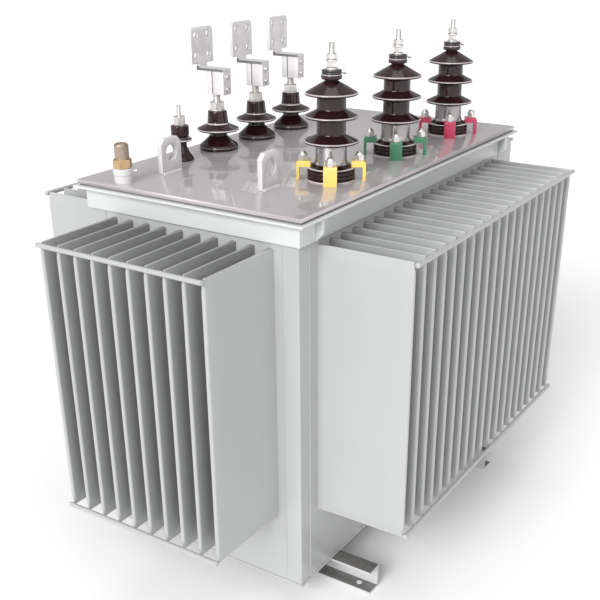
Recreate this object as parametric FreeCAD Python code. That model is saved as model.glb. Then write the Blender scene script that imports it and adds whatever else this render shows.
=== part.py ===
"""Oil-filled distribution transformer: corrugated tank on two channel skids.

Millimetres. +Z is up, the long side runs along X, and the origin is the centre of
the footprint on the underside of the skids. The high-voltage bushings stand towards
-Y and the low-voltage ones towards +Y.
"""
import math
import os

import FreeCAD
import Part

os.makedirs("parts", exist_ok=True)

# ---- skids: pressed channels, webs inward, flanges outward ---------------------
SKID_HEIGHT = 60.0
SKID_FLANGE = 40.0
SKID_THICK = 5.0
SKID_LENGTH = 740.0
SKID_GAUGE = 660.0            # between bolt holes, along X and along Y
SKID_OFFSET_X = -20.0         # the windings hang a little off the tank's middle
SKID_HOLE_R = 7.0

# ---- tank ----------------------------------------------------------------------
TANK_LENGTH = 1000.0
TANK_WIDTH = 534.0
TANK_HEIGHT = 842.0           # underside of the floor to the underside of the rim
WALL_THICK = 6.0
FLOOR_THICK = 8.0

# ---- rim, gasket and cover -----------------------------------------------------
RIM_OVERHANG = 26.0
RIM_THICK = 5.0
BAND_HEIGHT = 45.0
BAND_THICK = 7.0
GASKET_THICK = 3.0
GASKET_INSET = 11.0           # from the rim's edge
COVER_THICK = 10.0
COVER_INSET = 8.0             # from the rim's edge
GUSSET_THICK = 8.0
GUSSET_FROM_END = 53.0        # from the tank's end wall to the middle of a gusset
GUSSET_EDGE_GAP = 2.0
GUSSET_STRAIGHT = 0.6         # part of its height before it tapers

# ---- cooling fins --------------------------------------------------------------
FIN_PITCH = 45.0
FINS_LONG = 20
FINS_SHORT = 10
FIN_DEPTH = 212.0
FIN_THICK = 10.0
FIN_HEIGHT = 612.0
FIN_TOP_GAP = 11.0            # between the band and the top of the fins
FIN_TAPER = 26.0              # height over which the ends are pressed together
FIN_EDGE_THICK = 4.0
ROD_R = 5.0
ROD_OVERRUN = 2.0

# ---- high-voltage bushings -----------------------------------------------------
HV_Y = -173.0
HV_MID_X = 54.0
HV_SPACING = 285.0
HV_SPIGOT_R = 30.0
HV_FLANGE_R = 51.0
HV_FLANGE_H = 28.0
HV_SHOULDER_R = 43.0
HV_SLEEVE_R = 33.0
HV_CORE_R = 30.5
HV_SHEDS = ((80.0, 57.5), (131.0, 56.0), (177.0, 55.0))   # rim height, rim radius
HV_SHED_RISE = 14.0
HV_RIB_GROOVE = 2.5           # depth of the grooves round the foot
HV_RIBS = 3
HV_NECK_R = 13.5
HV_NECK_Z = 202.0
HV_HEAD_Z = 205.0             # ring at the top of the porcelain
HV_HEAD_R = 21.5
HV_CAP_Z = 215.0
HV_CAP_R = 20.5
HV_CAP_H = 8.0
HV_PIN_R = 6.0
HV_PIN_LENGTH = 53.0
HV_PIN_NUT_H = 10.6
HV_PIN_WASHER_H = 5.3
HV_PIN_WASHER_R = 12.0
VENT_R = 3.0                  # bleed screw on the cap
VENT_OUT = 30.0
VENT_TURN = -57.0             # degrees from +X
SCREW_SINK = 0.3              # how far a side screw is let into its round seat

# ---- clamps that hold the high-voltage bushings down ---------------------------
CLAMPS = 4
CLAMP_TURN = 30.0             # degrees from +X to the first clamp
CLAMP_WIDTH = 28.0
CLAMP_REACH = 22.0            # from the porcelain foot to the outer face
CLAMP_BAR = 12.0
CLAMP_LEG = 6.5
CLAMP_BEVEL = 4.0
CLAMP_STUD_GAP = 8.0          # from the porcelain foot to the stud's axis
STUD_R = 5.0
STUD_CLEARANCE = 0.6
CLAMP_NUT_FLATS = 19.0
CLAMP_NUT_H = 12.0
CLAMP_NUT_DOME = 7.0
CLAMP_DOME_R = 8.5
CLAMP_DOME_WAIST = 6.4        # radius of the dome at DOME_SHOULDER of its height
DOME_SHOULDER = 0.7

# ---- low-voltage bushings ------------------------------------------------------
LV_Y = 213.0
LV_MID_X = 37.0
LV_SPACING = 156.0
LV_SPIGOT_R = 20.0
LV_FOOT_R = 45.0
LV_FOOT_BULGE = 2.0
LV_FOOT_H = 11.0
LV_CONE = (27.0, 26.0)        # radius and height at the top of the foot's slope
LV_WAIST_R = 21.0
LV_WAIST_Z = 32.0
LV_SHED = (46.0, 50.5)        # rim height and radius
LV_SHED_TOP = (27.0, 59.0)
LV_HEAD_R = 25.0
LV_HEAD_Z = 62.0
LV_TOP_R = 22.5
LV_TOP_Z = 90.0
LV_STUD_R = 9.0
LV_WASHER_R = 18.0
LV_WASHER_H = 3.0
LV_NUT_FLATS = 32.0
LV_NUT_H = 17.0
LV_BLOCK = (30.0, 50.0, 52.0)
LV_BLOCK_Z = 128.0
LV_BLOCK_SHIFT = 8.0          # the block hangs this far in front of its stud
LV_BLOCK_SLOT = 3.0
LV_STUD_FIT = 0.1
LV_STRAP_THICK = 7.0
PALM_WIDTH = 80.0
PALM_BOTTOM = 15.0            # above the underside of the strap
PALM_TOP = 95.0
PALM_THICK = 8.0
PALM_OUT = 44.0               # from the stud's axis to the palm's outer face
PALM_CORNER = 6.0
PALM_HOLE_R = 7.0
PALM_HOLE_PITCH = 45.0
PALM_HOLE_Z = 57.0            # middle of the holes, above the underside of the strap

# ---- neutral bushing -----------------------------------------------------------
NEUTRAL_X = -259.0
NEUTRAL_SPIGOT_R = 12.0
NEUTRAL_FOOT_R = 28.5
NEUTRAL_FOOT_H = 4.0
NEUTRAL_WAIST_R = 14.0
NEUTRAL_WAIST_Z = 32.0
NEUTRAL_SHED = (46.0, 27.0)   # rim height and radius
NEUTRAL_SHED_TOP = (18.0, 54.0)
NEUTRAL_HEAD_R = 20.5
NEUTRAL_HEAD_Z = 56.0
NEUTRAL_TOP_Z = 78.0
NEUTRAL_NUT_FLATS = 24.0
NEUTRAL_NUT_H = 20.0
NEUTRAL_STUD_R = 5.0
NEUTRAL_STUD_H = 44.0

HOLE_CLEARANCE = 2.0
SPIGOT_LENGTH = 40.0
SHED_LIP = 3.0

# ---- lifting lugs and filler valve ---------------------------------------------
LUG_PLACES = ((-362.0, 158.0), (-362.0, -105.0))
LUG_WIDTH = 66.0
LUG_THICK = 12.0
LUG_HEIGHT = 75.0
LUG_CORNER = 12.0
LUG_EYE_R = 17.0
LUG_EYE_Z = 43.0
FILLER_X = -484.0
FILLER_Y = 182.0
FILLER_R = 20.0
FILLER_H = 17.0
FILLER_RING_R = 21.5
FILLER_RING_H = 13.0
FILLER_NUT_FLATS = 35.0
FILLER_NUT_H = 19.0
FILLER_CAP_R = 15.0
FILLER_CAP_H = 33.0
FILLER_CAP_BEVEL = 2.0
FILLER_SCREW_R = 3.5
FILLER_SCREW_OUT = 29.0
FILLER_SCREW_TURN = -57.0     # degrees from +X
LEVER_R = 2.5
LEVER_LENGTH = 32.0
LEVER_TURN = 123.0            # degrees from +X

UP = FreeCAD.Vector(0, 0, 1)

FLOOR_Z = SKID_HEIGHT
WALL_Z = FLOOR_Z + FLOOR_THICK
RIM_Z = FLOOR_Z + TANK_HEIGHT
GASKET_Z = RIM_Z + RIM_THICK
COVER_Z = GASKET_Z + GASKET_THICK
DECK_Z = COVER_Z + COVER_THICK
CLAMP_OUT = HV_FLANGE_R + CLAMP_REACH
CLAMP_STUD_AT = HV_FLANGE_R + CLAMP_STUD_GAP
FIN_TOP_Z = RIM_Z - BAND_HEIGHT - FIN_TOP_GAP
FIN_Z = FIN_TOP_Z - FIN_HEIGHT
HALF_L = TANK_LENGTH / 2
HALF_W = TANK_WIDTH / 2


# ---- helpers -------------------------------------------------------------------
def vec(x, y, z):
    return FreeCAD.Vector(x, y, z)


def box(length, width, height, x=0.0, y=0.0, z=0.0):
    """Box centred on x and y, standing on z."""
    return Part.makeBox(length, width, height, vec(x - length / 2, y - width / 2, z))


def cylinder(radius, height, x, y, z, axis=UP):
    return Part.makeCylinder(radius, height, vec(x, y, z), axis)


def ring(reach, inner, height, z):
    """Rectangular ring round the tank: reach outside the walls, inner inside them."""
    outer = box(TANK_LENGTH + 2 * reach, TANK_WIDTH + 2 * reach, height, z=z)
    return outer.cut(box(TANK_LENGTH - 2 * inner, TANK_WIDTH - 2 * inner, height, z=z))


def prism(points, sweep):
    """Flat polygon swept along a vector."""
    return Part.Face(Part.makePolygon(points + [points[0]])).extrude(sweep)


def hexagon(flats, height, x, y, z, turn=0.0):
    """Upright hexagonal bar measured across its flats."""
    r = flats / math.sqrt(3.0)
    corners = [math.radians(turn + 60.0 * i) for i in range(6)]
    return prism([vec(x + r * math.cos(a), y + r * math.sin(a), z) for a in corners],
                 vec(0, 0, height))


def turned(profile, x, y, z):
    """Solid of revolution about the upright line through x, y.

    The profile is a list of (radius, height); an entry of four numbers is an arc through
    its first pair ending at its second.
    """
    edges = []
    start = vec(profile[0][0], 0, profile[0][1])
    first = start
    for step in profile[1:]:
        end = vec(step[-2], 0, step[-1])
        if len(step) == 4:
            edges.append(Part.Arc(start, vec(step[0], 0, step[1]), end).toShape())
        else:
            edges.append(Part.LineSegment(start, end).toShape())
        start = end
    edges.append(Part.LineSegment(start, first).toShape())
    solid = Part.Face(Part.Wire(edges)).revolve(vec(0, 0, 0), UP, 360)
    solid.translate(vec(x, y, z))
    return solid


def shed(core, rim_z, rim_r, top_r, top_z):
    """Profile of one rain shed: flat underside, rounded lip, sloping top."""
    return [(core, rim_z - SHED_LIP), (rim_r - SHED_LIP, rim_z - SHED_LIP),
            (rim_r, rim_z, rim_r - SHED_LIP, rim_z + SHED_LIP), (top_r, top_z)]


def export(node, *solids):
    """Write one node; several solids go in side by side."""
    shape = solids[0] if len(solids) == 1 else Part.makeCompound(list(solids))
    shape.exportStep(os.path.join("parts", node + ".step"))


# ---- skids ---------------------------------------------------------------------
def skid(side):
    """One channel; side is -1 for the left one and +1 for the right one."""
    x = SKID_OFFSET_X + side * SKID_GAUGE / 2
    channel = box(SKID_FLANGE, SKID_LENGTH, SKID_HEIGHT, x)
    channel = channel.cut(box(SKID_FLANGE, SKID_LENGTH, SKID_HEIGHT - 2 * SKID_THICK,
                              x + side * SKID_THICK, 0, SKID_THICK))
    for end in (-1, 1):
        channel = channel.cut(cylinder(SKID_HOLE_R, SKID_THICK, x, end * SKID_GAUGE / 2, 0))
    return channel


# ---- tank and cover ------------------------------------------------------------
def tank_floor():
    return box(TANK_LENGTH, TANK_WIDTH, FLOOR_THICK, z=FLOOR_Z)


def tank_walls():
    return ring(0.0, WALL_THICK, RIM_Z - WALL_Z, WALL_Z)


def rim_band():
    return ring(BAND_THICK, 0.0, BAND_HEIGHT, RIM_Z - BAND_HEIGHT)


def rim_flange():
    return ring(RIM_OVERHANG, WALL_THICK, RIM_THICK, RIM_Z)


def rim_gasket():
    return ring(RIM_OVERHANG - GASKET_INSET, 0.0, GASKET_THICK, GASKET_Z)


def rim_gussets():
    """Tapered plates under the rim, near the ends of the long sides."""
    reach = RIM_OVERHANG - BAND_THICK - GUSSET_EDGE_GAP
    gussets = []
    for side in (-1, 1):
        wall = side * (HALF_W + BAND_THICK)
        for end in (-1, 1):
            x = end * (HALF_L - GUSSET_FROM_END) - GUSSET_THICK / 2
            outline = [vec(x, wall, RIM_Z), vec(x, wall + side * reach, RIM_Z),
                       vec(x, wall + side * reach, RIM_Z - GUSSET_STRAIGHT * BAND_HEIGHT),
                       vec(x, wall, RIM_Z - BAND_HEIGHT)]
            gussets.append(prism(outline, vec(GUSSET_THICK, 0, 0)))
    return gussets


def cover():
    """Cover plate with a hole under every bushing."""
    reach = RIM_OVERHANG - COVER_INSET
    plate = box(TANK_LENGTH + 2 * reach, TANK_WIDTH + 2 * reach, COVER_THICK, z=COVER_Z)
    holes = [(x, y, HV_SPIGOT_R) for x, y in hv_places()]
    holes += [(x, y, LV_SPIGOT_R) for x, y in lv_places()]
    holes.append((NEUTRAL_X, LV_Y, NEUTRAL_SPIGOT_R))
    for x, y, r in holes:
        plate = plate.cut(cylinder(r + HOLE_CLEARANCE, COVER_THICK, x, y, COVER_Z))
    return plate


# ---- cooling fins --------------------------------------------------------------
def fin():
    """One fin standing out along +X from x = 0: round nose, ends pressed thin."""
    half, edge = FIN_THICK / 2, FIN_EDGE_THICK / 2
    low, high = FIN_Z + FIN_TAPER, FIN_TOP_Z - FIN_TAPER
    end_view = [vec(0, -edge, FIN_Z), vec(0, edge, FIN_Z), vec(0, half, low),
                vec(0, half, high), vec(0, edge, FIN_TOP_Z), vec(0, -edge, FIN_TOP_Z),
                vec(0, -half, high), vec(0, -half, low)]
    blade = prism(end_view, vec(FIN_DEPTH, 0, 0))
    plan = box(FIN_DEPTH - half, FIN_THICK, FIN_HEIGHT, (FIN_DEPTH - half) / 2, 0, FIN_Z)
    nose = cylinder(half, FIN_HEIGHT, FIN_DEPTH - half, 0, FIN_Z)
    return blade.common(plan.fuse(nose)).removeSplitter()


def row_offsets(count):
    return [(i - (count - 1) / 2) * FIN_PITCH for i in range(count)]


def fin_row(count, wall, turn):
    """Fins on one wall; turn is the wall's outward direction in degrees from +X."""
    fins = []
    for offset in row_offsets(count):
        blade = fin()
        blade.translate(vec(wall, offset, 0))
        blade.rotate(vec(0, 0, 0), UP, turn)
        fins.append(blade)
    return fins


def fin_rods(count, wall, turn):
    """Two round bars that tie the noses of one row of fins together."""
    run = (count - 1) * FIN_PITCH + FIN_THICK + 2 * ROD_OVERRUN
    rods = []
    for z in (FIN_Z + ROD_R, FIN_TOP_Z - ROD_R):
        rod = cylinder(ROD_R, run, wall + FIN_DEPTH + ROD_R, -run / 2, z, vec(0, 1, 0))
        rod.rotate(vec(0, 0, 0), UP, turn)
        rods.append(rod)
    return rods


# ---- high-voltage side ---------------------------------------------------------
def hv_places():
    return [(HV_MID_X + i * HV_SPACING, HV_Y) for i in (-1, 0, 1)]


def hv_bushing(x, y):
    """Porcelain with a ribbed foot, a sleeve and three sheds under a neck."""
    step = HV_FLANGE_H / (2 * HV_RIBS + 1)
    profile = [(0, -SPIGOT_LENGTH), (HV_SPIGOT_R, -SPIGOT_LENGTH), (HV_SPIGOT_R, 0),
               (HV_FLANGE_R, 0)]
    for i in range(HV_RIBS):
        low = (2 * i + 1) * step
        profile += [(HV_FLANGE_R, low), (HV_FLANGE_R - HV_RIB_GROOVE, low + step / 2),
                    (HV_FLANGE_R, low + step)]
    profile += [(HV_FLANGE_R, HV_FLANGE_H), (HV_SHOULDER_R, HV_FLANGE_H),
                (HV_SLEEVE_R + SHED_LIP, HV_FLANGE_H + 2 * SHED_LIP),
                (HV_SLEEVE_R, HV_FLANGE_H + 4 * SHED_LIP)]
    core = HV_SLEEVE_R
    for i, (rim_z, rim_r) in enumerate(HV_SHEDS):
        last = i == len(HV_SHEDS) - 1
        top = (HV_NECK_R, HV_NECK_Z) if last else (HV_CORE_R, rim_z + HV_SHED_RISE)
        profile += shed(core, rim_z, rim_r, *top)
        core = HV_CORE_R
    profile += [(HV_HEAD_R, HV_HEAD_Z), (HV_HEAD_R, HV_CAP_Z), (0, HV_CAP_Z)]
    return turned(profile, x, y, DECK_Z)


def hv_cap(x, y):
    return cylinder(HV_CAP_R, HV_CAP_H, x, y, DECK_Z + HV_CAP_Z)


def hv_terminal(x, y):
    """Threaded pin that carries two nuts, each on its washer."""
    z = DECK_Z + HV_CAP_Z + HV_CAP_H
    pin = cylinder(HV_PIN_R, HV_PIN_LENGTH, x, y, z)
    for turn in (0.0, 30.0):
        pin = pin.fuse(cylinder(HV_PIN_WASHER_R, HV_PIN_WASHER_H, x, y, z))
        pin = pin.fuse(hexagon(CLAMP_NUT_FLATS, HV_PIN_NUT_H, x, y, z + HV_PIN_WASHER_H, turn))
        z += HV_PIN_WASHER_H + HV_PIN_NUT_H
    return pin.removeSplitter()


def vent_screw(x, y):
    """Bleed screw that stands out of the cap's side."""
    z = DECK_Z + HV_CAP_Z + HV_CAP_H / 2
    start = HV_CAP_R - SCREW_SINK
    screw = cylinder(VENT_R, VENT_OUT - start, start, 0, z, vec(1, 0, 0))
    screw.rotate(vec(0, 0, 0), UP, VENT_TURN)
    screw.translate(vec(x, y, 0))
    return screw


def clamp_angles():
    return [CLAMP_TURN + i * 360.0 / CLAMPS for i in range(CLAMPS)]


def hv_clamps(x, y):
    """Jaws whose noses bear on the foot of the porcelain and whose legs stand on the cover."""
    top = HV_FLANGE_H + CLAMP_BAR
    side = [vec(HV_SHOULDER_R, 0, HV_FLANGE_H), vec(CLAMP_OUT - CLAMP_LEG, 0, HV_FLANGE_H),
            vec(CLAMP_OUT - CLAMP_LEG, 0, 0), vec(CLAMP_OUT, 0, 0),
            vec(CLAMP_OUT, 0, top - CLAMP_BEVEL), vec(CLAMP_OUT - CLAMP_BEVEL, 0, top),
            vec(HV_SHOULDER_R, 0, top)]
    jaws = []
    for angle in clamp_angles():
        jaw = prism(side, vec(0, CLAMP_WIDTH, 0))
        jaw.translate(vec(0, -CLAMP_WIDTH / 2, 0))
        jaw = jaw.cut(cylinder(STUD_R + STUD_CLEARANCE, top, CLAMP_STUD_AT, 0, 0))
        jaw.rotate(vec(0, 0, 0), UP, angle)
        jaw.translate(vec(x, y, DECK_Z))
        jaws.append(jaw)
    return jaws


def clamp_nuts():
    """Stud, nut and domed end at every clamp of every high-voltage bushing."""
    top = HV_FLANGE_H + CLAMP_BAR
    nuts = []
    for x, y in hv_places():
        for angle in clamp_angles():
            nut = cylinder(STUD_R, top + CLAMP_NUT_H, CLAMP_STUD_AT, 0, 0)
            nut = nut.fuse(hexagon(CLAMP_NUT_FLATS, CLAMP_NUT_H, CLAMP_STUD_AT, 0, top))
            dome = [(0, 0), (CLAMP_DOME_R, 0),
                    (CLAMP_DOME_WAIST, CLAMP_NUT_DOME * DOME_SHOULDER, 0, CLAMP_NUT_DOME)]
            nut = nut.fuse(turned(dome, CLAMP_STUD_AT, 0, top + CLAMP_NUT_H)).removeSplitter()
            nut.rotate(vec(0, 0, 0), UP, angle)
            nut.translate(vec(x, y, DECK_Z))
            nuts.append(nut)
    return nuts


# ---- low-voltage side ----------------------------------------------------------
def lv_places():
    return [(LV_MID_X + i * LV_SPACING, LV_Y) for i in (-1, 0, 1)]


def lv_bushing(x, y):
    """Short porcelain: foot shed, waist, upper shed and tapered head."""
    profile = [(0, -SPIGOT_LENGTH), (LV_SPIGOT_R, -SPIGOT_LENGTH), (LV_SPIGOT_R, 0),
               (LV_FOOT_R, 0), (LV_FOOT_R + LV_FOOT_BULGE, LV_FOOT_H / 2, LV_FOOT_R, LV_FOOT_H),
               LV_CONE, (LV_WAIST_R, LV_WAIST_Z)]
    profile += shed(LV_WAIST_R, *LV_SHED, *LV_SHED_TOP)
    profile += [(LV_HEAD_R, LV_HEAD_Z), (LV_TOP_R, LV_TOP_Z), (0, LV_TOP_Z)]
    return turned(profile, x, y, DECK_Z)


def lv_stud(x, y):
    """Threaded stud, washer and nut under the clamp block."""
    z = DECK_Z + LV_TOP_Z
    stud = cylinder(LV_STUD_R, LV_BLOCK_Z + LV_BLOCK[2] - LV_TOP_Z, x, y, z)
    stud = stud.fuse(cylinder(LV_WASHER_R, LV_WASHER_H, x, y, z))
    return stud.fuse(hexagon(LV_NUT_FLATS, LV_NUT_H, x, y, z + LV_WASHER_H)).removeSplitter()


def lv_block(x, y):
    """Block that grips the stud, split on its left face."""
    length, width, height = LV_BLOCK
    z = DECK_Z + LV_BLOCK_Z
    block = box(length, width, height, x, y - LV_BLOCK_SHIFT, z)
    block = block.cut(cylinder(LV_STUD_R + LV_STUD_FIT, height, x, y, z))
    return block.cut(box(length / 2, LV_BLOCK_SLOT, height, x - length / 4, y, z))


def lv_palm(x, y):
    """Strap over the block, turned up into a flat palm with four holes."""
    z = DECK_Z + LV_BLOCK_Z + LV_BLOCK[2]
    front = y - LV_BLOCK_SHIFT - LV_BLOCK[1] / 2
    back = y + PALM_OUT
    strap = Part.makeBox(LV_BLOCK[0], back - front, LV_STRAP_THICK,
                         vec(x - LV_BLOCK[0] / 2, front, z))
    half, neck = PALM_WIDTH / 2, LV_BLOCK[0] / 2
    cut = PALM_CORNER
    outline = [(-neck, 0), (neck, 0), (neck, PALM_BOTTOM), (half, PALM_BOTTOM),
               (half, PALM_TOP - cut), (half - cut, PALM_TOP), (cut - half, PALM_TOP),
               (-half, PALM_TOP - cut), (-half, PALM_BOTTOM), (-neck, PALM_BOTTOM)]
    palm = prism([vec(x + dx, back - PALM_THICK, z + dz) for dx, dz in outline],
                 vec(0, PALM_THICK, 0))
    palm = palm.fuse(strap).removeSplitter()
    for dx in (-PALM_HOLE_PITCH / 2, PALM_HOLE_PITCH / 2):
        for dz in (PALM_HOLE_Z - PALM_HOLE_PITCH / 2, PALM_HOLE_Z + PALM_HOLE_PITCH / 2):
            palm = palm.cut(cylinder(PALM_HOLE_R, PALM_THICK, x + dx, back - PALM_THICK,
                                     z + dz, vec(0, 1, 0)))
    return palm


def neutral_bushing():
    """Small porcelain of the star point."""
    profile = [(0, -SPIGOT_LENGTH), (NEUTRAL_SPIGOT_R, -SPIGOT_LENGTH), (NEUTRAL_SPIGOT_R, 0),
               (NEUTRAL_FOOT_R, 0), (NEUTRAL_FOOT_R, NEUTRAL_FOOT_H),
               (NEUTRAL_WAIST_R, NEUTRAL_WAIST_Z)]
    profile += shed(NEUTRAL_WAIST_R, *NEUTRAL_SHED, *NEUTRAL_SHED_TOP)
    profile += [(NEUTRAL_HEAD_R, NEUTRAL_HEAD_Z), (NEUTRAL_HEAD_R, NEUTRAL_TOP_Z),
                (0, NEUTRAL_TOP_Z)]
    return turned(profile, NEUTRAL_X, LV_Y, DECK_Z)


def neutral_terminal():
    z = DECK_Z + NEUTRAL_TOP_Z
    stud = cylinder(NEUTRAL_STUD_R, NEUTRAL_STUD_H, NEUTRAL_X, LV_Y, z)
    return stud.fuse(hexagon(NEUTRAL_NUT_FLATS, NEUTRAL_NUT_H, NEUTRAL_X, LV_Y, z))


# ---- lugs and filler -----------------------------------------------------------
def lifting_lug(x, y):
    """Upright plate with an eye and cut corners."""
    half, cut = LUG_WIDTH / 2, LUG_CORNER
    outline = [(-half, 0), (half, 0), (half, LUG_HEIGHT - cut), (half - cut, LUG_HEIGHT),
               (cut - half, LUG_HEIGHT), (-half, LUG_HEIGHT - cut)]
    plate = prism([vec(x + dx, y - LUG_THICK / 2, DECK_Z + dz) for dx, dz in outline],
                  vec(0, LUG_THICK, 0))
    return plate.cut(cylinder(LUG_EYE_R, LUG_THICK, x, y - LUG_THICK / 2, DECK_Z + LUG_EYE_Z,
                              vec(0, 1, 0)))


def filler_base():
    top = FILLER_H + FILLER_RING_H
    return turned([(0, 0), (FILLER_R, 0), (FILLER_R, FILLER_H), (FILLER_RING_R, FILLER_H),
                   (FILLER_RING_R, top), (0, top)], FILLER_X, FILLER_Y, DECK_Z)


def filler_nut():
    return hexagon(FILLER_NUT_FLATS, FILLER_NUT_H, FILLER_X, FILLER_Y,
                   DECK_Z + FILLER_H + FILLER_RING_H)


def filler_cap():
    z = DECK_Z + FILLER_H + FILLER_RING_H + FILLER_NUT_H
    return turned([(0, 0), (FILLER_CAP_R, 0), (FILLER_CAP_R, FILLER_CAP_H - FILLER_CAP_BEVEL),
                   (FILLER_CAP_R - FILLER_CAP_BEVEL, FILLER_CAP_H), (0, FILLER_CAP_H)],
                  FILLER_X, FILLER_Y, z)


def filler_screw():
    """Small plug screw on the ring of the filler."""
    z = DECK_Z + FILLER_H + FILLER_RING_H / 2
    start = FILLER_RING_R - SCREW_SINK
    screw = cylinder(FILLER_SCREW_R, FILLER_SCREW_OUT - start, start, 0, z, vec(1, 0, 0))
    screw.rotate(vec(0, 0, 0), UP, FILLER_SCREW_TURN)
    screw.translate(vec(FILLER_X, FILLER_Y, 0))
    return screw


def filler_lever():
    """Thin lever that stands out from the nut of the filler."""
    start = FILLER_NUT_FLATS / 2
    z = DECK_Z + FILLER_H + FILLER_RING_H + FILLER_NUT_H / 2
    lever = cylinder(LEVER_R, LEVER_LENGTH, start, 0, z, vec(1, 0, 0))
    lever.rotate(vec(0, 0, 0), UP, LEVER_TURN)
    lever.translate(vec(FILLER_X, FILLER_Y, 0))
    return lever


def main():
    export("skid_left", skid(-1))
    export("skid_right", skid(1))
    export("tank_floor", tank_floor())
    export("tank_walls", tank_walls())
    export("rim_band", rim_band())
    export("rim_flange", rim_flange())
    export("rim_gasket", rim_gasket())
    export("rim_gussets", *rim_gussets())
    export("cover", cover())
    for name, count, wall, turn in (("front", FINS_LONG, HALF_W, 270.0),
                                    ("back", FINS_LONG, HALF_W, 90.0),
                                    ("left", FINS_SHORT, HALF_L, 180.0),
                                    ("right", FINS_SHORT, HALF_L, 0.0)):
        export("fins_" + name, *fin_row(count, wall, turn))
        export("rods_" + name, *fin_rods(count, wall, turn))
    for i, (x, y) in enumerate(hv_places(), 1):
        export(f"hv_bushing_{i}", hv_bushing(x, y))
        export(f"hv_clamps_{i}", *hv_clamps(x, y))
    export("hv_caps", *[hv_cap(x, y) for x, y in hv_places()])
    export("hv_terminals", *[hv_terminal(x, y) for x, y in hv_places()])
    export("hv_vent_screws", *[vent_screw(x, y) for x, y in hv_places()])
    export("clamp_nuts", *clamp_nuts())
    for i, (x, y) in enumerate(lv_places(), 1):
        export(f"lv_bushing_{i}", lv_bushing(x, y))
        export(f"lv_palm_{i}", lv_palm(x, y))
    export("lv_studs", *[lv_stud(x, y) for x, y in lv_places()])
    export("lv_blocks", *[lv_block(x, y) for x, y in lv_places()])
    export("neutral_bushing", neutral_bushing())
    export("neutral_terminal", neutral_terminal())
    export("lifting_lugs", *[lifting_lug(x, y) for x, y in LUG_PLACES])
    export("filler_base", filler_base())
    export("filler_nut", filler_nut())
    export("filler_cap", filler_cap())
    export("filler_lever", filler_lever())
    export("filler_screw", filler_screw())


main()
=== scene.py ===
"""Looks of an oil-filled distribution transformer, built round its packed frame.

Metres, +Z up, in the packed part's own frame. Outlines are written in millimetres and
scaled once, where they become meshes. Boxy nodes are shown as copies with eased edges;
fins, porcelain, threads and welds are surfaces worked out from formulas.
"""
import logging
import math
from dataclasses import dataclass, replace
from enum import Enum
from typing import Callable, Iterable, Optional, Sequence, Union

import bmesh
import bpy
import numpy as np
from mathutils import Matrix, Vector


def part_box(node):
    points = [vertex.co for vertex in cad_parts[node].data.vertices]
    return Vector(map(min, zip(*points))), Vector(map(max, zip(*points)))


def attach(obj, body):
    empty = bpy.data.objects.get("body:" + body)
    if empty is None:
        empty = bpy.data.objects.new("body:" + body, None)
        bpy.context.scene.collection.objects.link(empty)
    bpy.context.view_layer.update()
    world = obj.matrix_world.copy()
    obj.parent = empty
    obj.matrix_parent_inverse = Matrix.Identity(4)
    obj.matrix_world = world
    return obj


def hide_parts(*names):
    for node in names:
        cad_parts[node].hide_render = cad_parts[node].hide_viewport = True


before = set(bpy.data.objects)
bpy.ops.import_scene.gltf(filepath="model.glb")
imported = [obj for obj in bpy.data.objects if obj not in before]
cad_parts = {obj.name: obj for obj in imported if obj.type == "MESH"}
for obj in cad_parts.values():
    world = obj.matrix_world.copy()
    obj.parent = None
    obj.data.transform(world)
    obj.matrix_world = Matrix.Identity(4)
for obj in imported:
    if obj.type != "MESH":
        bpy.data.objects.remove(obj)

MM = 0.001
BODY = "root"
TURN = 2 * math.pi
CREASE = 30.0  # degrees; an edge that turns by more is rounded

log = logging.getLogger("transformer")

Colour = tuple[float, float, float]
Operand = Union["Value", float]


class Slot(Enum):
    """Material slots of the record."""

    TANK = "tank_paint"
    COVER = "cover_paint"
    RUBBER = "gasket_rubber"
    LUG = "lug_paint"
    PORCELAIN = "brown_porcelain"
    YELLOW = "yellow_paint"
    GREEN = "green_paint"
    RED = "red_paint"
    CAP = "cap_enamel"
    PLATED = "plated_steel"
    TINNED = "tinned_metal"
    BRASS = "brass"
    KNURLED = "brass_knurled"
    PLASTIC = "pale_plastic"


class Side(Enum):
    """Tank wall, as its name in the frame and its outward direction in degrees from +X."""

    FRONT = ("front", 270.0)
    BACK = ("back", 90.0)
    LEFT = ("left", 180.0)
    RIGHT = ("right", 0.0)


# ---- shader graph --------------------------------------------------------------
class Value:
    """Number that varies over a surface; arithmetic on it adds Math nodes."""

    def __init__(self, graph: "Graph", socket: bpy.types.NodeSocket) -> None:
        """Wraps one output socket of a graph."""
        self.graph = graph
        self.socket = socket

    def _join(self, operation: str, left: Operand, right: Operand) -> "Value":
        """Adds a Math node on two operands."""
        node = self.graph.node("ShaderNodeMath", {"operation": operation}, {0: left, 1: right})
        return Value(self.graph, node.outputs[0])

    def __add__(self, other: Operand) -> "Value":
        """Sum."""
        return self._join("ADD", self, other)

    def __radd__(self, other: Operand) -> "Value":
        """Sum, the other way round."""
        return self._join("ADD", other, self)

    def __sub__(self, other: Operand) -> "Value":
        """Difference."""
        return self._join("SUBTRACT", self, other)

    def __rsub__(self, other: Operand) -> "Value":
        """Difference, the other way round."""
        return self._join("SUBTRACT", other, self)

    def __mul__(self, other: Operand) -> "Value":
        """Product."""
        return self._join("MULTIPLY", self, other)

    def __rmul__(self, other: Operand) -> "Value":
        """Product, the other way round."""
        return self._join("MULTIPLY", other, self)

    def __pow__(self, other: float) -> "Value":
        """Power."""
        return self._join("POWER", self, other)

    def between(self, low: float, high: float) -> "Value":
        """Smooth step that is 0 at low and 1 at high."""
        settings = {"interpolation_type": "SMOOTHSTEP"}
        node = self.graph.node("ShaderNodeMapRange", settings, {0: self, 1: low, 2: high})
        return Value(self.graph, node.outputs[0])


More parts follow.
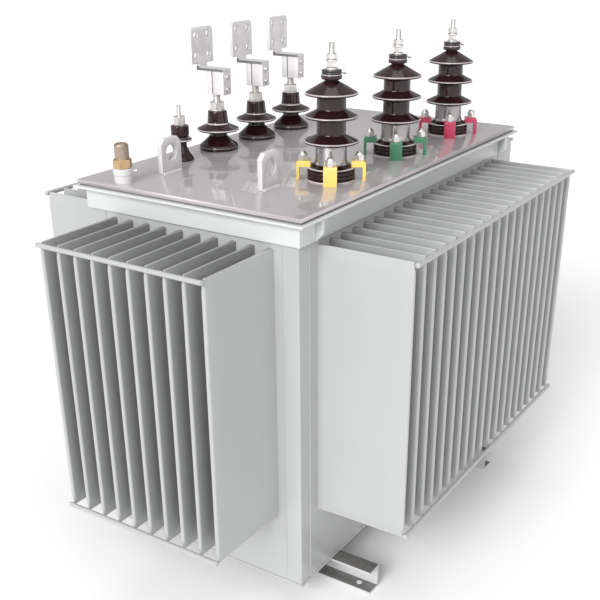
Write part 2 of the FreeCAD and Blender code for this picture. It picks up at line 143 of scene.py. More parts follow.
class Graph:
    """Node tree of one material, with a Principled shader at its end."""

    def __init__(self, name: str) -> None:
        """Makes an empty material of that name."""
        self.material = bpy.data.materials.new(name)
        self.material.use_nodes = True
        self.tree = self.material.node_tree
        self.tree.nodes.clear()
        self.shader = self.node("ShaderNodeBsdfPrincipled")
        self.node("ShaderNodeOutputMaterial", {}, {"Surface": self.shader.outputs[0]})
        self.place = self.node("ShaderNodeTexCoord").outputs["Object"]

    def node(self, kind: str, settings: Optional[dict] = None,
             inputs: Optional[dict] = None) -> bpy.types.Node:
        """Adds a node.

        Args:
            kind: The node's type.
            settings: Its properties, which are set first.
            inputs: Numbers, colours, sockets or Values by input name or index.

        Returns:
            The new node.
        """
        node = self.tree.nodes.new(kind)
        for key, setting in (settings or {}).items():
            setattr(node, key, setting)
        for key, value in (inputs or {}).items():
            self.feed(node.inputs[key], value)
        return node

    def feed(self, socket: bpy.types.NodeSocket, value: object) -> None:
        """Links a Value or socket into an input, or sets a constant on it."""
        if isinstance(value, Value):
            value = value.socket
        if isinstance(value, bpy.types.NodeSocket):
            self.tree.links.new(value, socket)
        elif isinstance(value, tuple) and len(value) == 3 and socket.type == "RGBA":
            socket.default_value = (*value, 1.0)
        else:
            socket.default_value = value

    def surface(self, **inputs: object) -> None:
        """Sets inputs of the shader; an underscore in a name stands for a space."""
        for name, value in inputs.items():
            self.feed(self.shader.inputs[name.replace("_", " ")], value)

    def noise(self, scale: float, detail: float = 2.0, stretch: Sequence[float] = (1, 1, 1),
              roughness: float = 0.5) -> Value:
        """Noise over the object's own coordinates.

        Args:
            scale: Lumps per metre.
            detail: Octaves above the first.
            stretch: Factors on the three coordinates, to draw the lumps out.
            roughness: Share of each further octave.

        Returns:
            A value about 0.5.
        """
        drawn = self.node("ShaderNodeMapping", {}, {"Vector": self.place, "Scale": tuple(stretch)})
        inputs = {"Vector": drawn.outputs[0], "Scale": scale, "Detail": detail,
                  "Roughness": roughness}
        return Value(self, self.node("ShaderNodeTexNoise", {}, inputs).outputs[0])

    def normal(self) -> bpy.types.NodeSocket:
        """Direction that the surface faces."""
        return self.node("ShaderNodeNewGeometry").outputs["Normal"]

    def part(self, vector: bpy.types.NodeSocket, axis: str) -> Value:
        """One coordinate of a vector."""
        return Value(self, self.node("ShaderNodeSeparateXYZ", {}, {0: vector}).outputs[axis])

    def facing_up(self) -> Value:
        """1 on level faces that look up, 0 on upright faces and undersides."""
        return self.part(self.normal(), "Z").between(0.3, 0.95)

    def facing_sideways(self) -> Value:
        """1 on faces that look along X, 0 on the others."""
        return (self.part(self.normal(), "X") ** 2.0).between(0.6, 0.9)

    def height(self) -> Value:
        """Height above the floor, in metres."""
        return self.part(self.place, "Z")

    def attribute(self, name: str) -> Value:
        """Number stored on the piece's points."""
        node = self.node("ShaderNodeAttribute", {"attribute_name": name})
        return Value(self, node.outputs["Fac"])

    def blend(self, factor: Operand, below: object, above: object) -> bpy.types.NodeSocket:
        """Colour that goes from below at factor 0 to above at factor 1."""
        settings = {"data_type": "RGBA"}
        return self.node("ShaderNodeMix", settings, {0: factor, 6: below, 7: above}).outputs[2]

    def bump(self, height: Value, depth: float, strength: float,
             base: Optional[bpy.types.NodeSocket] = None) -> bpy.types.NodeSocket:
        """Normal bent by a height map.

        Args:
            height: Height, from 0 to 1.
            depth: What a height of 1 measures, in metres.
            strength: Share of the effect.
            base: Normal to start from.

        Returns:
            The bent normal.
        """
        inputs = {"Height": height, "Distance": depth, "Strength": strength}
        if base is not None:
            inputs["Normal"] = base
        return self.node("ShaderNodeBump", {}, inputs).outputs[0]


# ---- finishes ------------------------------------------------------------------
def shade(colour: Colour, factor: float) -> Colour:
    """Colour with each channel multiplied by a factor."""
    return tuple(min(1.0, channel * factor) for channel in colour)


@dataclass(frozen=True)
class SprayedPaint:
    """Sprayed enamel on sheet steel: slightly uneven tone, orange peel, a dusting on upward faces
    that is dark painted shade on the skids, painted shade deep in the fin gaps and a painted
    highlight along the cover's rounded top edge.
    """

    name: str
    colour: Colour
    roughness: float = 0.34
    coat: float = 0.25
    coat_roughness: float = 0.12
    unevenness: float = 0.10
    # Amount of dusting on upward faces; where its colour is dark it is painted shade.
    dust_and_shade: float = 0.10
    waviness: float = 0.35
    dust_and_shade_colour: Colour = (0.46, 0.45, 0.43)
    # Strength of the painted shade deep in the fin gaps.
    gap_shade_strength: float = 0.55
    dust_and_shade_edge: float = 0.35
    # Strength of a painted highlight on faces tilted between upright and level.
    arris_highlight: float = 0.0

    def build(self) -> bpy.types.Material:
        """Makes the material."""
        g = Graph(self.name)
        clouds = g.noise(5.0, 3.0)
        mottle = g.noise(60.0, 3.0)
        peel = g.noise(420.0, 1.0)
        waves = g.noise(7.0, 1.0)
        tone = clouds.between(0.3, 0.7) * self.unevenness + mottle * (0.3 * self.unevenness)
        painted = g.blend(tone, self.colour, shade(self.colour, 0.72))
        # Painted shade: the fins' mark darkens the colour towards a quarter of it deep in the gaps
        # between fins.
        gap_shade_mask = g.attribute("mark") * self.gap_shade_strength * (0.8 + mottle * 0.4)
        painted = g.blend(gap_shade_mask, painted, shade(self.colour, 0.25))
        up = g.facing_up()
        # Upward faces go to the dusting colour: pale dust on the tank, dark painted shade on the
        # skids.
        dust_and_shade_mask = up * mottle.between(self.dust_and_shade_edge, 0.75) * self.dust_and_shade
        # Painted highlight: tilted faces of a rounded top edge are lightened towards twice the
        # colour, a bright line standing in for light catching the edge.
        painted = g.blend(up * (1.0 - up) * (4.0 * self.arris_highlight), painted,
                          shade(self.colour, 2.0))
        rough = self.roughness + mottle * 0.08 + dust_and_shade_mask * 0.8
        normal = g.bump(waves, 1.2 * MM, self.waviness)
        normal = g.bump(peel, 0.05 * MM, 0.35, normal)
        g.surface(Base_Color=g.blend(dust_and_shade_mask, painted, self.dust_and_shade_colour), Roughness=rough,
                  Coat_Weight=self.coat, Coat_Roughness=self.coat_roughness, IOR=1.48,
                  Normal=normal)
        return g.material


@dataclass(frozen=True)
class ChippedPaint:
    """Brushed phase-colour enamel on a small casting, rubbed to primer in places."""

    name: str
    colour: Colour
    primer: Colour = (0.30, 0.26, 0.22)
    roughness: float = 0.32

    def build(self) -> bpy.types.Material:
        """Makes the material."""
        g = Graph(self.name)
        brushed = g.noise(260.0, 3.0, (1.0, 1.0, 0.35))
        chips = g.noise(170.0, 4.0, roughness=0.65).between(0.60, 0.66)
        painted = g.blend(brushed, shade(self.colour, 0.82), shade(self.colour, 1.12))
        normal = g.bump(brushed, 0.25 * MM, 0.5)
        normal = g.bump(1.0 - chips, 0.2 * MM, 0.5, normal)
        g.surface(Base_Color=g.blend(chips * 0.3, painted, self.primer),
                  Roughness=self.roughness + chips * 0.3, Coat_Weight=0.3,
                  Coat_Roughness=0.15, Normal=normal)
        return g.material


@dataclass(frozen=True)
class Glaze:
    """Dark glaze over porcelain: paler at the rims, where the glaze thins and a painted highlight
    is laid, metallised where it is clamped.

    The pieces' mark is 1 on the pale rims, thin glaze with a painted highlight, and -1 where a
    metal film covers it.
    """

    name: str
    colour: Colour
    rim_glaze_and_highlight_colour: Colour
    film_colour: Colour = (0.44, 0.41, 0.42)
    roughness: float = 0.09

    def build(self) -> bpy.types.Material:
        """Makes the material."""
        g = Graph(self.name)
        pooled = g.noise(45.0, 3.0)
        speckle = g.noise(900.0, 1.0).between(0.62, 0.72)
        body = g.blend(pooled.between(0.3, 0.7), shade(self.colour, 0.75),
                       shade(self.colour, 1.3))
        body = g.blend(speckle * 0.15, body, shade(self.rim_glaze_and_highlight_colour, 0.3))
        mark = g.attribute("mark")
        # Pale rims: thinner glaze together with a painted highlight.
        thin = mark.between(0.0, 1.0) * (0.6 + pooled * 0.6)
        film = (0.0 - mark).between(0.1, 0.9) * (0.85 + pooled * 0.15)
        body = g.blend(film, body, self.film_colour)
        normal = g.bump(g.noise(30.0, 1.0), 0.8 * MM, 0.2)
        g.surface(Base_Color=g.blend(thin, body, self.rim_glaze_and_highlight_colour),
                  Metallic=film * 0.9, Roughness=self.roughness + pooled * 0.05 + film * 0.16,
                  IOR=1.5, Normal=normal)
        return g.material


@dataclass(frozen=True)
class Metal:
    """Bare or plated metal with fine drawn scratches and dull patches."""

    name: str
    colour: Colour
    tarnish: Colour
    roughness: float = 0.28
    grain: Sequence[float] = (1.0, 1.0, 1.0)
    grain_scale: float = 240.0
    dulling: float = 0.35
    metallic: float = 1.0

    def build(self) -> bpy.types.Material:
        """Makes the material."""
        g = Graph(self.name)
        drawn = g.noise(self.grain_scale, 2.0, self.grain)
        dull = g.noise(38.0, 4.0, roughness=0.6).between(0.42, 0.70) * self.dulling
        plated = g.blend(dull, self.colour, self.tarnish)
        colour, rougher = self.final_look(g, plated, drawn, dull)
        g.surface(Base_Color=colour, Metallic=self.metallic,
                  Roughness=self.roughness + drawn * 0.12 + rougher,
                  Normal=g.bump(drawn, 0.08 * MM, 0.3))
        return g.material

    def final_look(self, g: Graph, plated: bpy.types.NodeSocket, drawn: Value,
             dull: Value) -> tuple[bpy.types.NodeSocket, Value]:
        """Final colour and what wear adds to the roughness."""
        return plated, dull * 0.35


@dataclass(frozen=True)
class SawnBar(Metal):
    """Plated flat bar whose sawn edges have gone dark below a given height."""

    sawn: Colour = (0.10, 0.095, 0.095)
    sawn_below: float = 1.1

    def final_look(self, g: Graph, plated: bpy.types.NodeSocket, drawn: Value,
             dull: Value) -> tuple[bpy.types.NodeSocket, Value]:
        """Final colour and what wear adds to the roughness.

        Args:
            g: The material's graph.
            plated: Colour of the sound metal.
            drawn: Scratches along the bar.
            dull: Dull patches; not used.

        Returns:
            The colour and the added roughness.
        """
        above = g.height().between(self.sawn_below, self.sawn_below + MM)
        edge = g.facing_sideways() * (1.0 - above)
        return g.blend(edge * (0.7 + drawn * 0.3), plated, self.sawn), edge * 0.2


@dataclass(frozen=True)
class Moulding:
    """Moulded rubber or plastic: even colour, faint mottle and a dull skin."""

    name: str
    colour: Colour
    roughness: float = 0.6

    def build(self) -> bpy.types.Material:
        """Makes the material."""
        g = Graph(self.name)
        mottle = g.noise(150.0, 3.0)
        g.surface(Base_Color=g.blend(mottle, shade(self.colour, 0.85), shade(self.colour, 1.15)),
                  Roughness=self.roughness + mottle * 0.1,
                  Normal=g.bump(mottle, 0.15 * MM, 0.4))
        return g.material


@dataclass(frozen=True)
class PaleFloor:
    """Matt studio floor with a barely uneven tone."""

    name: str = "floor_paint"
    colour: Colour = (0.92, 0.92, 0.92)

    def build(self) -> bpy.types.Material:
        """Makes the material."""
        g = Graph(self.name)
        g.surface(Base_Color=g.blend(g.noise(0.8), self.colour, shade(self.colour, 0.97)),
                  Roughness=0.9)
        return g.material


GREY = (0.400, 0.405, 0.405)
FINISHES: dict[Slot, object] = {
    Slot.TANK: SprayedPaint("tank_enamel", GREY),
    # The cover carries a painted highlight along its rounded top edge.
    Slot.COVER: SprayedPaint("cover_enamel", (0.41, 0.375, 0.385), roughness=0.30, coat=1.0,
                             coat_roughness=0.04, waviness=0.12, dust_and_shade=0.04, unevenness=0.05,
                             arris_highlight=0.8),
    Slot.RUBBER: Moulding("gasket_rubber", (0.16, 0.16, 0.16)),
    Slot.LUG: SprayedPaint("lug_enamel", (0.60, 0.59, 0.60), roughness=0.38),
    Slot.PORCELAIN: Glaze("brown_glaze", (0.020, 0.006, 0.008), (0.66, 0.60, 0.61)),
    Slot.YELLOW: ChippedPaint("yellow_enamel", (0.86, 0.60, 0.15)),
    Slot.GREEN: ChippedPaint("green_enamel", (0.045, 0.19, 0.10)),
    Slot.RED: ChippedPaint("red_enamel", (0.48, 0.035, 0.09)),
    Slot.CAP: Moulding("cap_enamel", (0.030, 0.026, 0.028), 0.25),
    Slot.PLATED: Metal("zinc_plate", (0.78, 0.77, 0.75), (0.45, 0.43, 0.40)),
    Slot.TINNED: Metal("tinned_bar", (0.74, 0.725, 0.73), (0.60, 0.59, 0.60), roughness=0.42,
                       grain=(1.0, 1.0, 0.06), metallic=0.55, dulling=0.25),
    Slot.BRASS: Metal("brass", (0.66, 0.48, 0.26), (0.36, 0.25, 0.13), roughness=0.24),
    Slot.KNURLED: Metal("brass_turned", (0.45, 0.37, 0.30), (0.31, 0.245, 0.18), roughness=0.38),
    Slot.PLASTIC: Moulding("pale_moulding", (0.80, 0.80, 0.78), 0.4),
}

SAWN_BAR = SawnBar(**{**vars(FINISHES[Slot.TINNED]), "name": "sawn_bar"})
# Painted light: band, flange and gussets take the tank's grey made 1.45 times lighter, standing in
# for light on the same paint.
RIM_PAINT = SprayedPaint("rim_lightened_enamel", shade(GREY, 1.45))
# Skids: upward faces painted nearly black, a painted shade under the tank and fins.
SKID_PAINT = SprayedPaint("skid_enamel", shade(GREY, 1.2), dust_and_shade=0.95, dust_and_shade_edge=-1.5,
                          dust_and_shade_colour=(0.11, 0.105, 0.10))


class Paintbox:
    """Builds each finish once and hands out its material."""

    def __init__(self, finishes: dict[Slot, object]) -> None:
        """Keeps the finishes; none is built yet."""
        self.finishes = finishes
        self.made: dict[Slot, bpy.types.Material] = {}

    def __getitem__(self, slot: Slot) -> bpy.types.Material:
        """Material of a slot."""
        if slot not in self.made:
            self.made[slot] = self.finishes[slot].build()
        return self.made[slot]


PAINTBOX = Paintbox(FINISHES)


# ---- surfaces ------------------------------------------------------------------
def rounded(outline: Sequence[Sequence[float]], cut: float, steps: int = 4) -> np.ndarray:
    """Rounds the inner corners of an open outline.

    Each corner P becomes the quadratic curve (1-t)^2 A + 2t(1-t) P + t^2 B. A and B lie on
    the sides that meet at P, at the distance cut from it but no further than 45 % of the side.

    Args:
        outline: Points in millimetres.
        cut: Distance from a corner at which its curve starts.
        steps: Pieces per corner.

    Returns:
        The longer outline.
    """
    points = np.asarray(outline, float)
    corner, back, ahead = points[1:-1], points[:-2] - points[1:-1], points[2:] - points[1:-1]
    back_length = np.linalg.norm(back, axis=1, keepdims=True)
    ahead_length = np.linalg.norm(ahead, axis=1, keepdims=True)
    start = corner + back / back_length * np.minimum(cut, 0.45 * back_length)
    end = corner + ahead / ahead_length * np.minimum(cut, 0.45 * ahead_length)
    t = np.linspace(0, 1, steps + 1)[None, :, None]
    curve = (1 - t) ** 2 * start[:, None] + 2 * t * (1 - t) * corner[:, None] + t**2 * end[:, None]
    return np.vstack([points[:1], curve.reshape(-1, points.shape[1]), points[-1:]])


def placed(name: str, data: bpy.types.ID) -> bpy.types.Object:
    """New object of that data, linked into the scene at the origin."""
    piece = bpy.data.objects.new(name, data)
    bpy.context.scene.collection.objects.link(piece)
    return piece


def around(columns: int) -> np.ndarray:
    """Angles of the columns round an axis, as one row."""
    return np.linspace(0, TURN, columns, endpoint=False)[None, :]


def about(centre: Sequence[float], reach: np.ndarray, height: np.ndarray,
          angle: np.ndarray) -> np.ndarray:
    """Points (R cos a, R sin a, z) from a centre, as rows x columns x 3."""
    return np.stack([centre[0] + reach * np.cos(angle), centre[1] + reach * np.sin(angle),
                     centre[2] + height + 0 * angle], axis=-1)


class Shape:
    """Mesh gathered from parametric grids of points in millimetres."""

    def __init__(self) -> None:
        """Starts with no points."""
        self.points: list[np.ndarray] = []
        self.faces: list[np.ndarray] = []
        self.marks: list[np.ndarray] = []
        self.count = 0

    def grid(self, points: np.ndarray, around: bool = False, mark: float = 0.0) -> "Shape":
        """Adds a surface given as rows and columns of points.

        Args:
            points: Array of rows x columns x 3.
            around: True if the last column joins the first.
            mark: Number kept on the points for the finish, or one number a point.

        Returns:
            The shape itself.
        """
        rows, columns = points.shape[:2]
        index = np.arange(rows * columns).reshape(rows, columns) + self.count
        if around:
            index = np.hstack([index, index[:, :1]])
        quads = np.stack([index[:-1, :-1], index[:-1, 1:], index[1:, 1:], index[1:, :-1]], axis=-1)
        self.points.append(points.reshape(-1, 3))
        self.faces.append(quads.reshape(-1, 4))
        self.marks.append(np.broadcast_to(mark, (rows, columns)).reshape(-1))
        self.count += rows * columns
        return self

    def lathe(self, profile: np.ndarray, centre: Sequence[float], columns: int = 64,
              marks: Optional[np.ndarray] = None) -> "Shape":
        """Turns a profile about an upright line.

        The point at profile row (r, z) and angle a is (r cos a, r sin a, z) from the centre.

        Args:
            profile: Rows of radius and height, from axis to axis for a closed body.
            centre: Foot of the axis, in millimetres.
            columns: Pieces round the axis.
            marks: One number per profile row, for the finish.

        Returns:
            The shape itself.
        """
        points = about(centre, profile[:, :1], profile[:, 1:2], around(columns))
        return self.grid(points, True, 0.0 if marks is None else marks[:, None])

    def polar(self, radius: Callable[[np.ndarray, np.ndarray], np.ndarray], heights: np.ndarray,
              centre: Sequence[float], columns: int) -> "Shape":
        """Upright body whose radius depends on angle and height, closed by flat ends.

        The point at angle a and height z is (R cos a, R sin a, z) from the centre, with R given
        by the function; the first and last rows run in to the axis.

        Args:
            radius: Function of angle and height arrays.
            heights: Rows, from bottom to top.
            centre: Foot of the axis.
            columns: Pieces round the axis.

        Returns:
            The shape itself.
        """
        angle = around(columns)
        rows = np.concatenate([heights[:1], heights, heights[-1:]])[:, None]
        reach = radius(angle, rows) + 0 * angle * rows
        reach[0] = reach[-1] = 0.0
        return self.grid(about(centre, reach, rows, angle), True)

    def build(self, name: str, sharp: float = 32.0,
              turn: Optional[Matrix] = None) -> bpy.types.Object:
        """Makes the mesh object: seams and poles merged, faces outward, smooth between creases.

        Args:
            name: Object's name.
            sharp: Crease angle in degrees.
            turn: Transform applied to the points first.

        Returns:
            The new object, at the origin.
        """
        points = np.vstack(self.points) * MM
        faces = np.vstack(self.faces)
        mesh = bpy.data.meshes.new(name)
        mesh.from_pydata(points.tolist(), [], faces.tolist())
        marks = mesh.attributes.new("mark", "FLOAT", "POINT")
        marks.data.foreach_set("value", np.concatenate(self.marks).astype(np.float32))
        if turn is not None:
            mesh.transform(turn)
        clean(mesh)
        mesh.set_sharp_from_angle(angle=math.radians(sharp))
        return placed(name, mesh)


def clean(mesh: bpy.types.Mesh) -> None:
    """Merges doubles, drops faces without area, turns the rest outward and smooths them."""
    work = bmesh.new()
    work.from_mesh(mesh)
    bmesh.ops.remove_doubles(work, verts=work.verts, dist=1e-6)
    bmesh.ops.dissolve_degenerate(work, dist=1e-7, edges=work.edges)
    bmesh.ops.recalc_face_normals(work, faces=work.faces)
    for face in work.faces:
        face.smooth = True
    work.to_mesh(mesh)
    work.free()


def hexagon(flats: float, turn: float = 0.0) -> Callable[[np.ndarray], np.ndarray]:
    """Radius of a hexagon at an angle: half its flats over cos of the angle from the flat."""
    def radius(angle: np.ndarray) -> np.ndarray:
        """Radius at that angle."""
        beside = np.mod(angle - math.radians(turn) + TURN / 12, TURN / 6) - TURN / 12
        return flats / 2 / np.cos(beside)
    return radius


def nut(shape: Shape, flats: float, height: float, centre: Sequence[float],
        turn: float = 0.0) -> None:
    """Hexagonal nut whose corners are cut by a cone at both ends.

    The radius is the smaller of the hexagon's and of 0.98 times half the flats plus 1.7
    times the distance to the nearer end.

    Args:
        shape: Shape it is added to.
        flats: Width across the flats.
        height: Height of the nut.
        centre: Middle of its lower end.
        turn: Direction of one flat in degrees from +X.
    """
    outline = hexagon(flats, turn)

    def radius(angle: np.ndarray, z: np.ndarray) -> np.ndarray:
        """Smaller of hexagon and cone."""
        end = np.minimum(z, height - z)
        return np.minimum(outline(angle), flats / 2 * 0.98 + 1.7 * end)

    bite = flats * 0.045
    heights = np.array([0, bite / 3, bite * 2 / 3, bite, bite * 1.35, height / 2,
                        height - bite * 1.35, height - bite, height - bite * 2 / 3,
                        height - bite / 3, height])
    shape.polar(radius, heights, centre, 72)


def thread(shape: Shape, radius: float, pitch: float, length: float, centre: Sequence[float],
           columns: int = 24) -> None:
    """Threaded rod with a chamfered tip.

    The radius is the rod's less half the pitch times a triangle wave of z / pitch - a / turn,
    and less what a 45 degree cone takes off the tip.

    Args:
        shape: Shape it is added to.
        radius: Outer radius of the thread.
        pitch: Rise of one turn.
        length: Length of the rod.
        centre: Middle of its lower end.
        columns: Pieces round the axis.
    """
    def reach(angle: np.ndarray, z: np.ndarray) -> np.ndarray:
        """Radius on the helix."""
        wave = np.abs(np.mod(z / pitch - angle / TURN, 1.0) - 0.5) * 2
        return np.minimum(radius - 0.5 * pitch * (1 - wave), radius - 1.2 + (length - z))

    rows = max(6, int(length / pitch * 4))
    shape.polar(reach, np.linspace(0, length, rows), centre, columns)


def side_lathe(shape: Shape, outline: np.ndarray, centre: Sequence[float], out: float,
               turn: float) -> None:
    """Turned body lying on its side, with its axis pointing away from a centre.

    The point at profile row (r, s) and angle a lies out + s along the axis, and r cos a
    sideways and r sin a upward from it.

    Args:
        shape: Shape it is added to.
        outline: Rows of radius and distance along the axis.
        centre: Point that the axis starts from.
        out: Distance of the first row from it.
        turn: Axis direction in degrees from +X.
    """
    a = around(20)
    axis = np.array([math.cos(math.radians(turn)), math.sin(math.radians(turn)), 0.0])
    side = np.array([-axis[1], axis[0], 0.0])
    radius, along = outline[:, :1, None], outline[:, 1:2, None]
    points = (np.asarray(centre) + (out + along) * axis + radius * np.cos(a)[..., None] * side
              + radius * np.sin(a)[..., None] * np.array([0.0, 0.0, 1.0]))
    shape.grid(points, True)


def bead(shape: Shape, start: Sequence[float], end: Sequence[float], radius: float,
         ripple: float = 5.0) -> None:
    """Weld bead along a straight line, with rippled scales.

    Along the line the radius is R (0.8 + 0.25 |sin(pi s / ripple)|), faded to nothing over
    the last radius at each end; the section is a circle.

    Args:
        shape: Shape it is added to.
        start: First end of the line.
        end: Other end.
        radius: Radius R of the bead.
        ripple: Length of one scale.
    """
    start, end = np.asarray(start, float), np.asarray(end, float)
    length = float(np.linalg.norm(end - start))
    along = (end - start) / length
    side = np.cross(along, (0.0, 0.0, 1.0) if abs(along[2]) < 0.9 else (1.0, 0.0, 0.0))
    side /= np.linalg.norm(side)
    up = np.cross(side, along)
    s = np.linspace(0, length, max(4, int(length / ripple * 3)))[:, None]
    fade = np.sqrt(np.clip(np.minimum(s, length - s) / radius, 0, 1))
    reach = radius * (0.8 + 0.25 * np.abs(np.sin(np.pi * s / ripple))) * fade
    angle = around(8)
    ring = reach[..., None] * (np.cos(angle)[..., None] * side + np.sin(angle)[..., None] * up)
    shape.grid(start + s[..., None] * along + ring, True)


def thin_glaze_and_highlight(outline: np.ndarray, rims: Sequence[Sequence[float]], width: float,
               height: float, weights: Union[float, Sequence[float]] = 1.0) -> np.ndarray:
    """Marks the pale rims along a porcelain's outline: thinner glaze with a painted highlight.

    The mark at (r, z) is the largest of w exp(-((r - R) / width)^2 - ((z - Z) / height)^2)
    over the rims (R, Z).

    Args:
        outline: Rows of radius and height.
        rims: Radius and height of each rim.
        width: Reach of a rim along the radius.
        height: Its reach along the height.
        weights: Strength of all rims, or one a rim.

    Returns:
        One mark a row.
    """
    radius, level = np.asarray(rims, float).T
    near = np.exp(-(((outline[:, :1] - radius) / width) ** 2
                    + ((outline[:, 1:] - level) / height) ** 2))
    return (near * np.asarray(weights)).max(axis=1)


# ---- placing pieces ------------------------------------------------------------
def fit(piece: bpy.types.Object, slot: Slot, stands_for: Iterable[str] = (),
        finish: Optional[bpy.types.Material] = None) -> bpy.types.Object:
    """Dresses a piece, ties it to the frame and reports it.

    Args:
        piece: New mesh object.
        slot: Slot it takes its finish from.
        stands_for: CAD nodes that it replaces.
        finish: Material to use instead of the slot's own.

    Returns:
        The piece.
    """
    piece.data.materials.clear()
    piece.data.materials.append(finish or PAINTBOX[slot])
    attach(piece, BODY)
    nodes = list(stands_for)
    if nodes:
        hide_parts(*nodes)
    log.info("%s: %d faces, finish %s, stands for %s", piece.name, len(piece.data.polygons),
             slot.value, ", ".join(nodes) or "nothing")
    return piece


def eased(node: str, slot: Slot, width: float = 1.2, segments: int = 2,
          finish: Optional[bpy.types.Material] = None, shortest: float = 0.0) -> bpy.types.Object:
    """Shows a flat-sided node as a copy with rounded edges.

    The copy's triangles are merged into whole faces, and a bevel rounds the edges that turn
    by more than 30 degrees and are not shorter than a given length.

    Args:
        node: CAD node.
        slot: Slot of its finish.
        width: Width of the rounding in millimetres.
        segments: Pieces across it.
        finish: Material to use instead of the slot's own.
        shortest: Length in millimetres of the shortest edge to round.

    Returns:
        The copy, which replaces the node.
    """
    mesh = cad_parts[node].data.copy()
    work = bmesh.new()
    work.from_mesh(mesh)
    bmesh.ops.remove_doubles(work, verts=work.verts, dist=1e-6)
    bmesh.ops.dissolve_limit(work, angle_limit=math.radians(1.0), verts=work.verts,
                             edges=work.edges)
    for face in work.faces:
        face.smooth = True
    weight = work.edges.layers.float.new("bevel_weight_edge")
    for line in work.edges:
        turns = line.is_manifold and line.calc_face_angle() > math.radians(CREASE)
        line[weight] = float(turns and line.calc_length() >= shortest * MM)
        line.smooth = not turns or line[weight] > 0.0
    work.to_mesh(mesh)
    work.free()
    piece = placed(node + "_eased", mesh)
    edge = piece.modifiers.new("eased_edges", "BEVEL")
    edge.width = width * MM
    edge.segments = segments
    edge.limit_method = "WEIGHT"
    edge.harden_normals = True
    return fit(piece, slot, [node], finish)


def corners(node: str) -> tuple[np.ndarray, np.ndarray]:
    """Lowest and highest corner of a node, in millimetres."""
    low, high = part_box(node)
    return np.array(low) / MM, np.array(high) / MM


def middle(node: str) -> np.ndarray:
    """Middle of a node's box, in millimetres."""
    low, high = corners(node)
    return (low + high) / 2


def deck() -> float:
    """Height of the cover's top, in millimetres."""
    return corners("cover")[1][2]


# ---- sub-assemblies ------------------------------------------------------------
@dataclass
class Tank:
    """Tank shell, rim, cover and skids, with the welds that hold them together."""

    edge: float = 1.5
    cover_edge: float = 2.5
    corner: float = 6.0
    bead_radius: float = 3.0
    seam_from_corner: float = 38.0
    seam_radius: float = 1.4
    seam_ripple: float = 9.0
    bead_inset: float = 20.0
    long_edge: float = 100.0

    def build(self) -> None:
        """Builds every piece of the tank."""
        eased("tank_walls", Slot.TANK, self.corner, 4)
        eased("cover", Slot.COVER, self.cover_edge, 3,
              shortest=self.long_edge)
        eased("tank_floor", Slot.TANK, self.edge)
        # Band, flange and gussets get the lightened grey as painted light.
        lightened_rim_paint = RIM_PAINT.build()
        for node, width in (("rim_band", 2.5), ("rim_flange", self.edge), ("rim_gussets", 1.0)):
            eased(node, Slot.TANK, width, 3, lightened_rim_paint)
        # Skid paint with dark painted shade on its upward faces.
        final_look = SKID_PAINT.build()
        for node in ("skid_left", "skid_right"):
            eased(node, Slot.TANK, self.edge, finish=final_look)
        eased("rim_gasket", Slot.RUBBER, 0.8)
        self.seams()

    def seams(self) -> None:
        """Upright seams beside the corners, the bead under the band and those on the skids."""
        low, high = corners("tank_walls")
        band = corners("rim_band")[0][2]
        shape = Shape()
        for x in (low[0], high[0]):
            for y in (low[1], high[1]):
                inward_x = self.seam_from_corner * (1 if x < 0 else -1)
                inward_y = self.seam_from_corner * (1 if y < 0 else -1)
                for place in ((x + inward_x, y), (x, y + inward_y)):
                    bead(shape, (*place, low[2]), (*place, band), self.seam_radius,
                         self.seam_ripple)
        for y in (low[1], high[1]):
            bead(shape, (low[0], y, band), (high[0], y, band), self.bead_radius)
        for x in (low[0], high[0]):
            bead(shape, (x, low[1], band), (x, high[1], band), self.bead_radius)
        floor = corners("tank_floor")[0][2]
        for node in ("skid_left", "skid_right"):
            for x in (corners(node)[0][0], corners(node)[1][0]):
                bead(shape, (x, low[1] + self.bead_inset, floor),
                     (x, high[1] - self.bead_inset, floor), self.bead_radius)
        fit(shape.build("tank_welds"), Slot.TANK)


